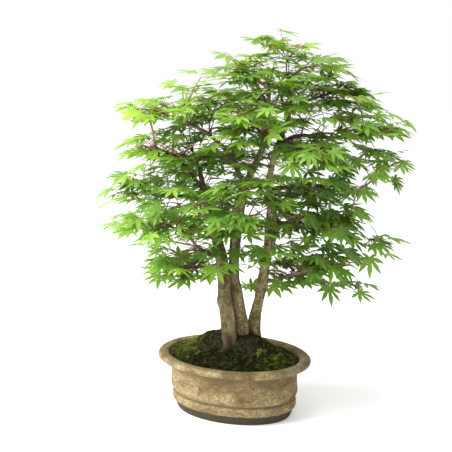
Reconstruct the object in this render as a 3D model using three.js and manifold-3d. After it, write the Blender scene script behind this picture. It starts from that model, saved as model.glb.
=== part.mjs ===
// A clump-style Japanese maple bonsai with three trunks, in an oval stoneware pot with a wide lip.
// Millimetres, +Z up. The origin is the middle of the pot's flat foot, and the pot's long axis lies along X.
// The tree's best side is turned from the pot's long side, so its points are written in the tree's own
// frame, with -Y towards the viewer, and turned into the part's frame by place().
import * as THREE from "three";
import { mergeVertices } from "three/addons/utils/BufferGeometryUtils.js";
import Module from "manifold-3d";

const wasm = await Module();
wasm.setup();

// ---- driving dimensions ----
const treeTurn = THREE.MathUtils.degToRad(21);
const gap = 0.3; // kept between pieces that touch

const pot = {
  height: 104.5,
  lipRadius: 138.5, // half of the oval's length over the lip
  ovalDifference: 35.2, // half-length less half-width, the same at every height
  ovalStart: 70, // inside this radius the oval keeps one ratio, down to the axis
  wall: 108.5, // inside of the wall at mid height
  floor: 10,
  segments: 44,
};
const drain = { x: 52, radius: 9, sides: 12 };
const screen = { size: 32, thickness: 1.2, bars: 3, hole: 7 };
const soilEdge = 98;
const moundTop = 137;
const mossDepth = 5;

// ---- materials ----
const look = (color, roughness) => new THREE.MeshStandardMaterial({ color, roughness, metalness: 0 });
const stoneware = look(0xb39b6c, 0.8);
const earth = look(0x2d2a1c, 1.0);
const moss = look(0x3f5a1e, 1.0);
const bark = look(0x8d8268, 0.85);
const youngBark = look(0x5e4a3a, 0.8);
const leaf = look(0x5f9f2c, 0.6);
const mesh = look(0x25282a, 0.5);

// ---- solids ----
function solid(geometry) {
  const bare = geometry.clone();
  bare.deleteAttribute("normal");
  bare.deleteAttribute("uv");
  const merged = mergeVertices(bare, 1e-3);
  return new wasm.Manifold(
    new wasm.Mesh({
      numProp: 3,
      vertProperties: merged.attributes.position.array,
      triVerts: new Uint32Array(merged.index.array),
    }),
  );
}

function largest(body) {
  return body.decompose().sort((a, b) => b.volume() - a.volume())[0];
}

const root = new THREE.Group();
function add(name, body, material) {
  const made = body.getMesh();
  const geometry = new THREE.BufferGeometry();
  geometry.setAttribute("position", new THREE.BufferAttribute(made.vertProperties, 3));
  geometry.setIndex(new THREE.BufferAttribute(made.triVerts, 1));
  geometry.computeVertexNormals();
  const piece = new THREE.Mesh(geometry, material);
  piece.name = name;
  root.add(piece);
}

// ---- the pot, its soil and moss ----
// A lathe turned from [radius, height] points, made oval: every wall keeps one thickness all the way round.
function oval(profile) {
  const geometry = new THREE.LatheGeometry(
    profile.map(([r, z]) => new THREE.Vector2(r, z)),
    pot.segments,
  );
  geometry.rotateX(Math.PI / 2);
  const at = geometry.attributes.position;
  for (let i = 0; i < at.count; i++) {
    const r = Math.max(Math.hypot(at.getX(i), at.getY(i)), pot.ovalStart);
    at.setY(i, (at.getY(i) * (r - pot.ovalDifference)) / r);
  }
  return solid(geometry);
}

function upright(shape, bottom, top) {
  const geometry = new THREE.ExtrudeGeometry(shape, { depth: top - bottom, bevelEnabled: false });
  geometry.translate(0, 0, bottom);
  return solid(geometry);
}

const outside = [
  [0, 0], [104, 0], [109, 15], [112.5, 17], // dark foot band
  [113.5, 26], [111, 34], // lower rib and the groove over it
  [115.5, 43], [115, 56], [117, 86], // belly and upright wall
  [121, 90.5], [135, 94], [138.5, 98], [137, 102], [132, pot.height], // wide rolled lip
];
const inside = [
  [122, 103.7], [118.5, 102], [117.3, 99], [116, 92], [110.5, 84], [pot.wall, 60], [103, 18], [98, pot.floor],
  [0, pot.floor],
];
const drainHole = (x) => {
  const ring = new THREE.Shape();
  ring.absarc(x, 0, drain.radius, 0, 2 * Math.PI, false);
  const geometry = new THREE.ExtrudeGeometry(ring, { depth: 40, bevelEnabled: false, curveSegments: drain.sides });
  geometry.translate(0, 0, -20);
  return solid(geometry);
};
let potBody = oval([...outside, ...inside]);
for (const x of [-drain.x, drain.x]) potBody = potBody.subtract(drainHole(x));
add("pot", potBody, stoneware);

// A plastic mesh square lies over each drain hole, under the soil.
function slab(x, y, side, bottom, top) {
  const geometry = new THREE.BoxGeometry(side, side, top - bottom);
  geometry.translate(x, y, (bottom + top) / 2);
  return solid(geometry);
}
function screenPlate(x) {
  const pitch = screen.size / screen.bars;
  const bottom = pot.floor + gap;
  let plate = slab(x, 0, screen.size, bottom, bottom + screen.thickness);
  for (let i = 0; i < screen.bars; i++) {
    for (let j = 0; j < screen.bars; j++) {
      const across = x + (i - (screen.bars - 1) / 2) * pitch;
      const along = (j - (screen.bars - 1) / 2) * pitch;
      plate = plate.subtract(slab(across, along, screen.hole, 0, 20));
    }
  }
  return plate;
}

const mound = (rise) => [
  [116.7, soilEdge + rise], [111, soilEdge + 2.5 + rise], [84, 112 + rise], [66, 123 + rise],
  [50, moundTop - 5 + rise], [28, moundTop - 1 + rise], [0, moundTop + rise],
];

// The mound's height at x, y of the part's frame.
function moundHeight(x, y) {
  let r = Math.hypot(x, y);
  for (let i = 0; i < 20; i++) {
    const wide = Math.max(r, pot.ovalStart);
    r = Math.hypot(x, (y * wide) / (wide - pot.ovalDifference));
  }
  const profile = mound(0).reverse();
  const next = Math.max(1, profile.findIndex(([reach]) => reach > r));
  const [[r0, z0], [r1, z1]] = [profile[next - 1], profile[next]];
  return z0 + ((z1 - z0) * (r - r0)) / (r1 - r0);
}
let soilBody = oval([
  [0, pot.floor + gap], [98 - gap, pot.floor + gap], [103 - gap, 18 + gap], [pot.wall - gap, 60],
  [110.1, 84], [115.6, 92], ...mound(0),
]);
for (const [side, x] of [["left", -drain.x], ["right", drain.x]]) {
  add(`drain_screen_${side}`, screenPlate(x), mesh);
  soilBody = soilBody.subtract(slab(x, 0, screen.size + 2 * gap, 0, pot.floor + screen.thickness + 2 * gap));
}

// ---- trunks and boughs ----
// Turns a point of the tree's frame into the part's frame.
function place([x, y, z]) {
  return new THREE.Vector3(x, y, z).applyAxisAngle(new THREE.Vector3(0, 0, 1), treeTurn);
}

// A round limb through points [x, y, z, radius], tapering smoothly from one radius to the next.
function limb(points, sides, stepLength, grow = 0) {
  const path = new THREE.CatmullRomCurve3(points.map(place));
  const steps = Math.max(3, Math.round(path.getLength() / stepLength));
  const section = new THREE.Shape(
    Array.from({ length: sides }, (_, i) => {
      const turn = (2 * Math.PI * i) / sides;
      return new THREE.Vector2(Math.cos(turn), Math.sin(turn));
    }),
  );
  const geometry = new THREE.ExtrudeGeometry(section, { steps, extrudePath: path, bevelEnabled: false });
  const radii = new THREE.CatmullRomCurve3(points.map(([, , , r], i) => new THREE.Vector3(i, r, 0)));
  const centres = path.getSpacedPoints(steps);
  const widths = centres.map((_, k) => {
    const along = path.getUtoTmapping(k / steps); // where this step lies between the stated points
    return radii.getPoint(along).y + grow;
  });
  const at = geometry.attributes.position;
  const corner = new THREE.Vector3();
  for (let i = 0; i < at.count; i++) {
    corner.fromBufferAttribute(at, i);
    let nearest = 0;
    for (let k = 1; k <= steps; k++) {
      if (corner.distanceToSquared(centres[k]) < corner.distanceToSquared(centres[nearest])) nearest = k;
    }
    corner.sub(centres[nearest]).multiplyScalar(widths[nearest]).add(centres[nearest]);
    at.setXYZ(i, corner.x, corner.y, corner.z);
  }
  return solid(geometry);
}

// Each trunk is listed from below the soil to its tip. Its surface roots, [x, y, radius] from the trunk
// outwards, lie half sunk in the mound.
const trunks = [
  {
    name: "trunk_left",
    line: [
      [-4, -21, 90, 16], [-4, -20, 122, 15], [-5, -20, 145, 13], [-6, -19, 172, 13], [-9, -17, 206, 13],
      [-12, -15, 241, 12], [-15, -13, 272, 11], [-24, -9, 305, 9.5], [-34, -5, 332, 8], [-47, 0, 380, 5.5], [-58, 8, 425, 4],
      [-70, 12, 460, 2.5],
    ],
    roots: [
      [[-8, -24, 9], [-20, -30, 7.5], [-32, -34, 4.5]],
      [[-2, -28, 8], [4, -38, 6.5], [9, -46, 4]],
    ],
  },
  {
    name: "trunk_middle",
    line: [
      [14, 0, 90, 15], [13, 0, 122, 13.5], [11, -1, 145, 12], [9, -1, 172, 11], [5, -1, 206, 10.5], [1, -1, 241, 9.5],
      [1, 0, 275, 9], [3, 1, 310, 9.2], [5, 2, 334, 9.8], [9, 2, 364, 10], [12, 2, 378, 10], [21, 0, 404, 7], [37, 0, 441, 6],
      [49, 0, 470, 5.5], [55, 0, 502, 5], [57, 0, 540, 4], [58, 0, 573, 2.5],
    ],
    roots: [
      [[8, 6, 8], [-6, 22, 5.5], [-16, 32, 3.5]],
      [[17, -4, 8], [25, -12, 6.5], [32, -18, 4]],
    ],
  },
  {
    name: "trunk_right",
    line: [
      [38, 10, 90, 14], [37, 10, 122, 12.5], [37, 10, 150, 11.5], [42, 9, 178, 9.8], [48, 7, 208, 10], [53, 6, 236, 10.3],
      [57, 5, 268, 9], [62, 5, 302, 10], [66, 5, 332, 12.5], [65, 6, 352, 9.5], [63, 6, 370, 7], [60, 8, 404, 5.5],
      [68, 8, 452, 5], [82, 6, 491, 4.5], [91, 5, 520, 4], [92, 4, 548, 3.2], [89, 4, 583, 2.2],
    ],
    roots: [
      [[40, 12, 8], [52, 17, 6], [62, 20, 3.5]],
      [[40, 6, 7], [49, 0, 5.5], [57, -6, 3.5]],
    ],
  },
];

// Each bough is listed from inside its trunk to its tip.
const boughs = {
  bough_left_top: [[19, 0, 400, 4.5], [-5, -15, 452, 4.2], [-25, -28, 478, 3.4], [-51, -38, 499, 2.6], [-84, -45, 516, 1.6]],
  bough_left_upper: [[-50, 2, 393, 4], [-77, -20, 432, 3.2], [-100, -42, 460, 2.4], [-128, -55, 474, 1.5]],
  bough_left_mid: [[-44, 0, 368, 4], [-75, 18, 380, 3.2], [-114, 38, 378, 2.4], [-154, 50, 380, 1.5]],
  bough_left_low: [[-25, -12, 280, 4], [-59, -35, 302, 3.2], [-79, -60, 332, 2.5], [-115, -85, 355, 1.5]],
  bough_left_bottom: [[-24, -10, 268, 3.6], [-50, 15, 256, 2.8], [-76, 40, 250, 2.2], [-100, 60, 250, 1.5]],
  bough_front_low: [[5, 0, 312, 4], [7, -45, 332, 3.2], [9, -85, 346, 2.3], [12, -115, 354, 1.5]],
  bough_back_low: [[7, 2, 322, 4], [-6, 45, 328, 3.2], [-21, 85, 331, 2.3], [-36, 125, 334, 1.5]],
  bough_right_low: [[53, 6, 230, 3.6], [88, -12, 246, 3], [125, -35, 264, 2.2], [163, -55, 280, 1.5]],
  bough_right_mid: [[66, 5, 338, 4.2], [107, -15, 339, 3.2], [148, -32, 336, 2.4], [189, -48, 341, 1.5]],
  bough_right_reach: [
    [60, 8, 396, 4], [111, 22, 398, 3.2], [153, 35, 397, 2.8], [195, 45, 391, 2.2], [222, 50, 388, 1.8], [251, 52, 412, 1.4],
  ],
  bough_back_right: [[64, 6, 370, 3.8], [90, 50, 370, 3.2], [116, 90, 370, 2.3], [145, 125, 369, 1.5]],
  bough_right_upper: [[76, 7, 473, 3.6], [107, -8, 488, 3.2], [145, -20, 487, 2.6], [190, -32, 488, 2], [225, -38, 497, 1.4]],
  bough_right_top: [[92, 4, 534, 3], [123, 18, 544, 2.6], [153, 32, 552, 2], [184, 42, 561, 1.4]],
  bough_front_upper: [[50, 0, 476, 3.4], [42, -40, 498, 2.8], [33, -78, 511, 2], [24, -108, 520, 1.4]],
  bough_back_upper: [[54, 0, 494, 3.4], [42, 42, 506, 2.8], [29, 84, 513, 2], [19, 120, 518, 1.4]],
  bough_top_left: [[57, 0, 537, 3], [41, -6, 564, 2.4], [27, -12, 585, 1.9], [15, -16, 602, 1.4]],
  bough_front_right: [[79, 6, 483, 3.2], [98, -38, 476, 2.7], [114, -78, 468, 2], [130, -112, 463, 1.4]],
};

// ---- foliage ----
// Each spray is the layer of leaves at the end of one twig: its middle, its half-width across the tree's
// front and its half-depth, and the place on the wood that its twig leaves from.
const sprays = {
  leaves_crown: { at: [86, 2, 642], size: [64, 60], from: [89, 4, 578] },
  leaves_top_left: { at: [14, -15, 616], size: [50, 52], from: [17, -15, 598] },
  leaves_top_right: { at: [160, 26, 606], size: [54, 58], from: [152, 31, 551] },
  leaves_top_back: { at: [108, 88, 588], size: [62, 48], from: [91, 6, 560] },
  leaves_top_front: { at: [62, -64, 584], size: [56, 46], from: [58, 0, 560] },
  leaves_left_top_end: { at: [-130, -46, 534], size: [78, 60], from: [-82, -45, 515] },
  leaves_left_top: { at: [-34, -20, 556], size: [60, 54], from: [-40, -34, 490] },
  leaves_upper_back: { at: [16, 124, 536], size: [64, 50], from: [20, 116, 517] },
  leaves_upper_front: { at: [22, -112, 538], size: [60, 48], from: [25, -104, 519] },
  leaves_upper_right: { at: [118, -52, 536], size: [56, 46], from: [112, -10, 488] },
  leaves_right_top_end: { at: [208, 54, 556], size: [58, 54], from: [182, 41, 560] },
  leaves_right_upper_end: { at: [240, -40, 510], size: [66, 58], from: [221, -37, 496] },
  leaves_left_upper_end: { at: [-156, -58, 484], size: [60, 56], from: [-125, -54, 473] },
  leaves_left_upper: { at: [-78, -18, 474], size: [50, 46], from: [-88, -30, 446] },
  leaves_mid_back: { at: [-8, 78, 456], size: [60, 52], from: [40, 4, 446] },
  leaves_front_right: { at: [132, -116, 474], size: [60, 50], from: [127, -108, 464] },
  leaves_right_reach: { at: [188, 66, 432], size: [60, 56], from: [176, 41, 394] },
  leaves_right_reach_end: { at: [282, 52, 430], size: [52, 50], from: [248, 52, 409] },
  leaves_left_mid_end: { at: [-182, 52, 388], size: [64, 58], from: [-151, 49, 380] },
  leaves_left_mid: { at: [-92, 28, 404], size: [50, 50], from: [-84, 22, 380] },
  leaves_front_mid: { at: [6, -96, 416], size: [68, 46], from: [19, -2, 396] },
  leaves_back_right: { at: [146, 128, 382], size: [64, 50], from: [141, 121, 369] },
  leaves_left_low_end: { at: [-142, -90, 360], size: [64, 52], from: [-112, -83, 353] },
  leaves_left_low: { at: [-70, -72, 350], size: [46, 42], from: [-82, -62, 335] },
  leaves_left_bottom: { at: [-98, 62, 258], size: [66, 54], from: [-94, 55, 250] },
  leaves_front_low: { at: [2, -112, 366], size: [64, 46], from: [12, -110, 352] },
  leaves_back_low: { at: [-38, 128, 346], size: [64, 50], from: [-34, 118, 333] },
  leaves_right_mid_end: { at: [200, -52, 354], size: [66, 56], from: [185, -46, 340] },
  leaves_right_mid: { at: [112, -36, 366], size: [48, 44], from: [104, -14, 339] },
  leaves_right_low_end: { at: [176, -56, 288], size: [58, 50], from: [158, -53, 278] },
  leaves_right_low: { at: [108, 22, 262], size: [46, 44], from: [96, -16, 250] },
  leaves_right_droop: { at: [248, -30, 312], size: [44, 42], from: [189, -46, 341] },
};
const points = 9; // leaf tips round a spray's edge
const sprayThickness = 1.6;
const droop = 16; // how far a spray's tips hang below its middle
const twigRadius = 1.1;

// A thin domed layer with a pointed edge, like maple leaves that overlap, and the twig that holds it.
function spray({ at, size, from }, turn, grow = 0) {
  const edge = Array.from({ length: 2 * points }, (_, i) => {
    const angle = turn + (Math.PI * i) / points;
    const reach = i % 2 ? 0.66 : 1 - 0.1 * ((i / 2) % 3);
    return [Math.cos(angle) * reach, Math.sin(angle) * reach];
  });
  const corners = [];
  for (const side of [1, -1]) {
    const lift = side * (sprayThickness / 2 + grow);
    corners.push(place([at[0], at[1], at[2] + lift]));
    for (const [x, y] of edge) {
      const share = 1 + grow / 50;
      const fall = droop * (x * x + y * y);
      corners.push(place([at[0] + x * size[0] * share, at[1] + y * size[1] * share, at[2] + lift - fall]));
    }
  }
  const ring = 2 * points;
  const under = ring + 1; // the first corner of the underside
  const faces = [];
  for (let i = 0; i < ring; i++) {
    const a = 1 + i;
    const b = 1 + ((i + 1) % ring);
    faces.push(0, a, b, under, under + b, under + a, a, under + a, b, b, under + a, under + b);
  }
  const geometry = new THREE.BufferGeometry();
  geometry.setAttribute("position", new THREE.Float32BufferAttribute(corners.flatMap((c) => c.toArray()), 3));
  geometry.setIndex(faces);
  const r = twigRadius;
  const bend = [(at[0] + from[0]) / 2, (at[1] + from[1]) / 2, (at[2] + from[2]) / 2 - 3, r];
  const twig = limb([[...from, r], bend, [at[0], at[1], at[2], r]], 5, 20, grow);
  return solid(geometry).add(twig);
}

// ---- wood, cut so that neighbours keep their gap ----
let wood = null;
const join = (a, b) => (a ? a.add(b) : b);
for (const { name, line, roots } of trunks) {
  const whole = (grow) => {
    let body = limb(line, 10, 24, grow);
    for (const run of roots) {
      const sunk = run.map(([x, y, r]) => {
        const under = place([x, y, 0]);
        return [x, y, moundHeight(under.x, under.y) - 0.2 * r, r];
      });
      body = body.add(limb(sunk, 6, 16, grow));
    }
    return body;
  };
  const body = wood ? largest(whole(0).subtract(wood)) : whole(0);
  add(name, body, bark);
  wood = join(wood, whole(gap));
}
const rootsAndTrunks = wood;
for (const [name, line] of Object.entries(boughs)) {
  add(name, largest(limb(line, 6, 26).subtract(wood)), youngBark);
  wood = wood.add(limb(line, 6, 26, gap));
}

// ---- soil and moss, fitted round the roots ----
add("soil", largest(soilBody.subtract(rootsAndTrunks)), earth);
const mossLayer = oval([[0, 80], [111, 80], ...mound(mossDepth).slice(1)]).subtract(
  oval([[0, 60], [116.7, 60], ...mound(gap)]),
);
// Moss grows in patches: each is the layer inside a wavy-edged round, at x, y with its half-sizes.
const mossPatches = {
  moss_left: [-72, -2, 31, 40],
  moss_front: [4, -55, 36, 17],
  moss_right: [76, -12, 26, 36],
};
for (const [name, [x, y, halfX, halfY]] of Object.entries(mossPatches)) {
  const wavy = Array.from({ length: 20 }, (_, i) => {
    const angle = (2 * Math.PI * i) / 20;
    const reach = 1 + 0.07 * Math.sin(3 * angle + x) + 0.05 * Math.sin(5 * angle);
    return new THREE.Vector2(x + halfX * reach * Math.cos(angle), y + halfY * reach * Math.sin(angle));
  });
  const patch = upright(new THREE.Shape(wavy), 70, 150);
  add(name, largest(mossLayer.intersect(patch).subtract(rootsAndTrunks)), moss);
}

let turn = 0;
for (const [name, layer] of Object.entries(sprays)) {
  turn += 0.37;
  add(name, largest(spray(layer, turn).subtract(wood)), leaf);
  wood = wood.add(spray(layer, turn, gap));
}

export default root;
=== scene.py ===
import math
import random

import bpy
from mathutils import Matrix, Vector, noise


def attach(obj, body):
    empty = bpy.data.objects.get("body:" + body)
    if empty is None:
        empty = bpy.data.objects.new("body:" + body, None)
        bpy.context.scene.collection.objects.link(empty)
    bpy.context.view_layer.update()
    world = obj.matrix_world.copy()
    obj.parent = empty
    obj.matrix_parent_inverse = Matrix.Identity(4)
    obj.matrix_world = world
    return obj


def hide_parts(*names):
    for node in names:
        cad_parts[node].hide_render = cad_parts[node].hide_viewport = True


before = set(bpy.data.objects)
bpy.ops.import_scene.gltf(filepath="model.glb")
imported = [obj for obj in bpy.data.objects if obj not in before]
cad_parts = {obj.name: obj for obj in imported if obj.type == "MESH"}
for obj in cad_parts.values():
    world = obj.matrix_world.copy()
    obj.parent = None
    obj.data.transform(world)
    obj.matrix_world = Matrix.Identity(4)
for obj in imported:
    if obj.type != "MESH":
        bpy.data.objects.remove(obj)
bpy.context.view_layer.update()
bpy.ops.object.select_all(action="DESELECT")

treeTurn = math.radians(21)  # the tree's best side is turned from the pot's long side
turned = Matrix.Rotation(treeTurn, 4, "Z")


def inTree(x, y, z):  # a point of the tree's frame, in millimetres, as a point of the part
    return turned @ Vector((x / 1000, y / 1000, z / 1000))


# Small helpers.

def only(piece):
    bpy.ops.object.select_all(action="DESELECT")
    piece.select_set(True)
    bpy.context.view_layer.objects.active = piece
    return piece


def newMesh(name, places, faces):
    mesh = bpy.data.meshes.new(name)
    mesh.from_pydata([tuple(p) for p in places], [], faces)
    mesh.update()
    piece = bpy.data.objects.new(name, mesh)
    bpy.context.scene.collection.objects.link(piece)
    return only(piece)


def apply(piece, kind, **settings):
    only(piece)
    modifier = piece.modifiers.new(kind.lower(), kind)
    for key, value in settings.items():
        setattr(modifier, key, value)
    bpy.ops.object.modifier_apply(modifier=modifier.name)
    return piece


def joined(name, pieces):
    target = newMesh(name, [], [])
    for piece in pieces:
        piece.select_set(True)
    bpy.context.view_layer.objects.active = target
    bpy.ops.object.join()
    return target


def editAll(piece):  # into edit mode, with the whole mesh selected
    only(piece)
    bpy.ops.object.mode_set(mode="EDIT")
    bpy.ops.mesh.select_all(action="SELECT")


def edited(piece):  # back out of edit mode
    bpy.ops.object.mode_set(mode="OBJECT")
    return piece


def addCopy(places, faces, copy, copyFaces):  # puts one more copy of a small shape into a growing mesh
    start = len(places)
    places += copy
    faces += [tuple(start + i for i in f) for f in copyFaces]


def tinted(piece, name, values):  # an attribute with a value for each vertex, or one value for all
    if isinstance(values, float):
        values = [values] * len(piece.data.vertices)
    layer = piece.data.attributes.new(name, "FLOAT", "POINT")
    layer.data.foreach_set("value", values)
    return piece


def clipped(value):  # kept between 0 and 1
    return min(1.0, max(0.0, value))


def smooth(piece, angle=None):
    only(piece)
    if angle is None:
        bpy.ops.object.shade_smooth()
    else:
        bpy.ops.object.shade_smooth_by_angle(angle=math.radians(angle))
    return piece


# a smooth line through lists of numbers, with this many steps between points
def smoothLine(points, per):
    before = [2 * a - b for a, b in zip(points[0], points[1])]
    after = [2 * a - b for a, b in zip(points[-1], points[-2])]
    line = [before, *points, after]
    made = []
    for i in range(1, len(line) - 2):
        for k in range(per):
            t = k / per
            made.append([
                0.5 * (
                    2 * b + (c - a) * t + (2 * a - 5 * b + 4 * c - d) * t * t + (3 * b - a - 3 * c + d) * t**3
                )
                for a, b, c, d in zip(line[i - 1], line[i], line[i + 1], line[i + 2])
            ])
    return made + [list(points[-1])]


# one mesh of round tubes; a run is a list of (x, y, z, radius), in metres
def tubes(name, runs, resolution=0):
    curve = bpy.data.curves.new(name, "CURVE")
    curve.dimensions = "3D"
    curve.bevel_depth = 1
    curve.bevel_resolution = resolution
    curve.use_fill_caps = True
    for run in runs:
        spline = curve.splines.new("POLY")
        spline.points.add(len(run) - 1)
        for point, (x, y, z, r) in zip(spline.points, run):
            point.co = (x, y, z, 1)
            point.radius = r
    piece = bpy.data.objects.new(name, curve)
    bpy.context.scene.collection.objects.link(piece)
    only(piece)
    bpy.ops.object.convert(target="MESH")
    piece = bpy.context.view_layer.objects.active
    editAll(piece)
    bpy.ops.mesh.normals_make_consistent(inside=False)
    return edited(piece)


def finished(piece, material, slot, *nodes):
    piece.data.materials.clear()
    piece.data.materials.append(material)
    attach(piece, "root")
    if nodes:
        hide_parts(*nodes)
    print(piece.name, len(piece.data.polygons), "faces")
    return piece


# Node materials.

def node(tree, kind, values=None, **settings):
    made = tree.nodes.new("ShaderNode" + kind)
    for key, value in settings.items():
        setattr(made, key, value)
    for key, value in (values or {}).items():
        if isinstance(value, bpy.types.NodeSocket):
            tree.links.new(value, made.inputs[key])
        else:
            made.inputs[key].default_value = value
    return made


def startMaterial(name):
    made = bpy.data.materials.new(name)
    made.use_nodes = True
    tree = made.node_tree
    tree.nodes.clear()
    place = node(tree, "TexCoord").outputs["Object"]
    return made, tree, place


def endMaterial(tree, shader):
    node(tree, "OutputMaterial", {"Surface": shader})


def stretched(tree, place, scale):
    return node(tree, "Mapping", {"Vector": place, "Scale": scale}).outputs["Vector"]


def grain(tree, place, scale, detail=4, roughness=0.55, distortion=0.0):
    values = {
        "Vector": place, "Scale": scale, "Detail": detail, "Roughness": roughness, "Distortion": distortion,
    }
    return node(tree, "TexNoise", values).outputs["Fac"]


def ramp(tree, value, stops):
    made = node(tree, "ValToRGB", {"Fac": value})
    elements = made.color_ramp.elements
    while len(elements) < len(stops):
        elements.new(0.5)
    for element, (at, color) in zip(elements, stops):
        element.position = at
        element.color = (*color, 1) if isinstance(color, (tuple, list)) else (color, color, color, 1)
    return made.outputs["Color"]


def mixed(tree, share, a, b, blend="MIX"):
    made = node(tree, "Mix", data_type="RGBA", blend_type=blend)
    for socket, value in ((made.inputs[0], share), (made.inputs[6], a), (made.inputs[7], b)):
        if isinstance(value, bpy.types.NodeSocket):
            tree.links.new(value, socket)
        elif isinstance(value, (tuple, list)):
            socket.default_value = (*value, 1)
        else:
            socket.default_value = value
    return made.outputs[2]


def sums(tree, kind, a, b=0.0):
    made = node(tree, "Math", operation=kind)
    for socket, value in zip(made.inputs, (a, b)):
        if isinstance(value, bpy.types.NodeSocket):
            tree.links.new(value, socket)
        else:
            socket.default_value = value
    return made.outputs[0]


def spread(tree, value, low, high, toLow=0.0, toHigh=1.0):
    values = {"Value": value, "From Min": low, "From Max": high, "To Min": toLow, "To Max": toHigh}
    return node(tree, "MapRange", values, clamp=True).outputs["Result"]


def bumped(tree, *layers):  # layers of (height socket, distance in metres, strength)
    normal = None
    for height, distance, strength in layers:
        values = {"Height": height, "Distance": distance, "Strength": strength}
        if normal:
            values["Normal"] = normal
        normal = node(tree, "Bump", values).outputs["Normal"]
    return normal


def surface(tree, color, roughness, normal, gloss=0.5):
    values = {"Base Color": color, "Roughness": roughness, "Normal": normal, "Specular IOR Level": gloss}
    return node(tree, "BsdfPrincipled", values).outputs["BSDF"]


def letsLight(tree, solid, color, amount):  # lets some light through, as a thin leaf does
    glow = node(tree, "BsdfTranslucent", {"Color": color}).outputs["BSDF"]
    return node(tree, "MixShader", {0: amount, 1: solid, 2: glow}).outputs["Shader"]


# The pot.
pot = {
    "difference": 0.0352,  # half-length less half-width, the same at every height
    "ovalStart": 0.070,
    "steps": 176,
    "unevenness": 0.0005,
    "footTop": 0.0165,
    "groove": 0.034,
    "drain": {"x": 0.052, "radius": 0.009, "sides": 40},
    "pale": (0.370, 0.313, 0.172),
    "cream": (0.310, 0.252, 0.129),
    "ochre": (0.218, 0.162, 0.077),
    "brown": (0.114, 0.075, 0.033),
    "patch": (0.120, 0.076, 0.031),
    "fleck": (0.075, 0.048, 0.022),
    "crack": (0.085, 0.055, 0.026),
    # the next three colours: grime mixed with painted shade on the lip's top, then painted shade under the
    # lip and in the groove
    "grimeAndShade": (0.085, 0.075, 0.040),
    "shadeUnderLip": (0.100, 0.062, 0.026),
    "shadeInGroove": (0.075, 0.047, 0.021),
    "foot": [(0.026, 0.020, 0.011), (0.060, 0.047, 0.027)],
}


def ovalPlace(x, y):  # a place on a round turned shape, moved to the oval's place
    r = max(math.hypot(x, y), pot["ovalStart"])
    return x, y * (r - pot["difference"]) / r


def ovalRadius(x, y):  # which of the oval's rings a place lies on, as its half-length
    r = math.hypot(x, y)
    for _ in range(16):
        wide = max(r, pot["ovalStart"])
        r = math.hypot(x, y * wide / (wide - pot["difference"]))
    return r


# a profile of (radius, height) in millimetres, spun about Z and made oval
def turnedOval(name, profile, steps):
    count = len(profile)
    places = [(r / 1000, 0, z / 1000) for r, z in profile]
    mesh = bpy.data.meshes.new(name)
    mesh.from_pydata(places, [(i, (i + 1) % count) for i in range(count - (profile[0][0] == 0))], [])
    piece = bpy.data.objects.new(name, mesh)
    bpy.context.scene.collection.objects.link(piece)
    editAll(piece)
    bpy.ops.mesh.spin(steps=steps, angle=2 * math.pi, center=(0, 0, 0), axis=(0, 0, 1))
    bpy.ops.mesh.select_all(action="SELECT")
    bpy.ops.mesh.remove_doubles(threshold=1e-6)
    bpy.ops.mesh.normals_make_consistent(inside=False)
    edited(piece)
    for v in piece.data.vertices:
        v.co.x, v.co.y = ovalPlace(v.co.x, v.co.y)
    return piece


potProfile = [
    (0, 0), (40, 0), (100, 0), (103.2, 0.3), (104.4, 1.6), (105.4, 4), (107.2, 9), (108.8, 14),  # foot
    (109.6, 16), (111.4, 17), (112.6, 18.6), (113.3, 21), (113.7, 24.5), (113.5, 28), (112.8, 30.8),  # rib
    (111.6, 32.4), (110.9, 34), (111.4, 35.8), (112.9, 38), (114.6, 41),  # groove
    (115.5, 44), (115.8, 48), (115.4, 53), (115, 58), (114.9, 66), (115.2, 74), (115.8, 81),  # wall
    (117, 86), (119, 89), (122.5, 90.8), (128, 91.9), (133.5, 93.1), (136.5, 94.7), (138.1, 97),  # lip
    (138.4, 99.2), (137.6, 101.6), (135.6, 103.5), (133, 104.3), (130, 104.5), (126, 104.3), (122, 103.8),
    (119.6, 102.9), (118.2, 101.2), (117.3, 98.6),
    (116, 92), (110.5, 84), (109, 72), (108.5, 60), (106, 38), (103, 18), (101, 13),  # inside
    (97, 10.2), (52, 10), (0, 10),
]
potBody = turnedOval("pot_body", potProfile, pot["steps"])
drain = pot["drain"]
for side in (-1, 1):
    at = (side * drain["x"], 0, 0)
    bpy.ops.mesh.primitive_cylinder_add(
        vertices=drain["sides"], radius=drain["radius"], depth=0.06, location=at,
    )
    drill = bpy.context.object
    apply(potBody, "BOOLEAN", operation="DIFFERENCE", object=drill, solver="EXACT")
    bpy.data.objects.remove(drill)


def pushed(piece, amount):  # moves each vertex out along its normal by what amount(place, normal) gives
    normals = [v.normal.copy() for v in piece.data.vertices]
    for v, normal in zip(piece.data.vertices, normals):
        v.co += normal * amount(v.co, normal)
    piece.data.update()
    return piece


def handMade(at, normal):  # the wall, rib and lip wander a little
    if at.z < 0.0008:
        return 0
    wander = noise.noise(at * 16) + 0.5 * noise.noise(at * 48)
    return wander * pot["unevenness"] * (1 - 0.6 * abs(normal.z))


pushed(potBody, handMade)
smooth(potBody, 50)


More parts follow.
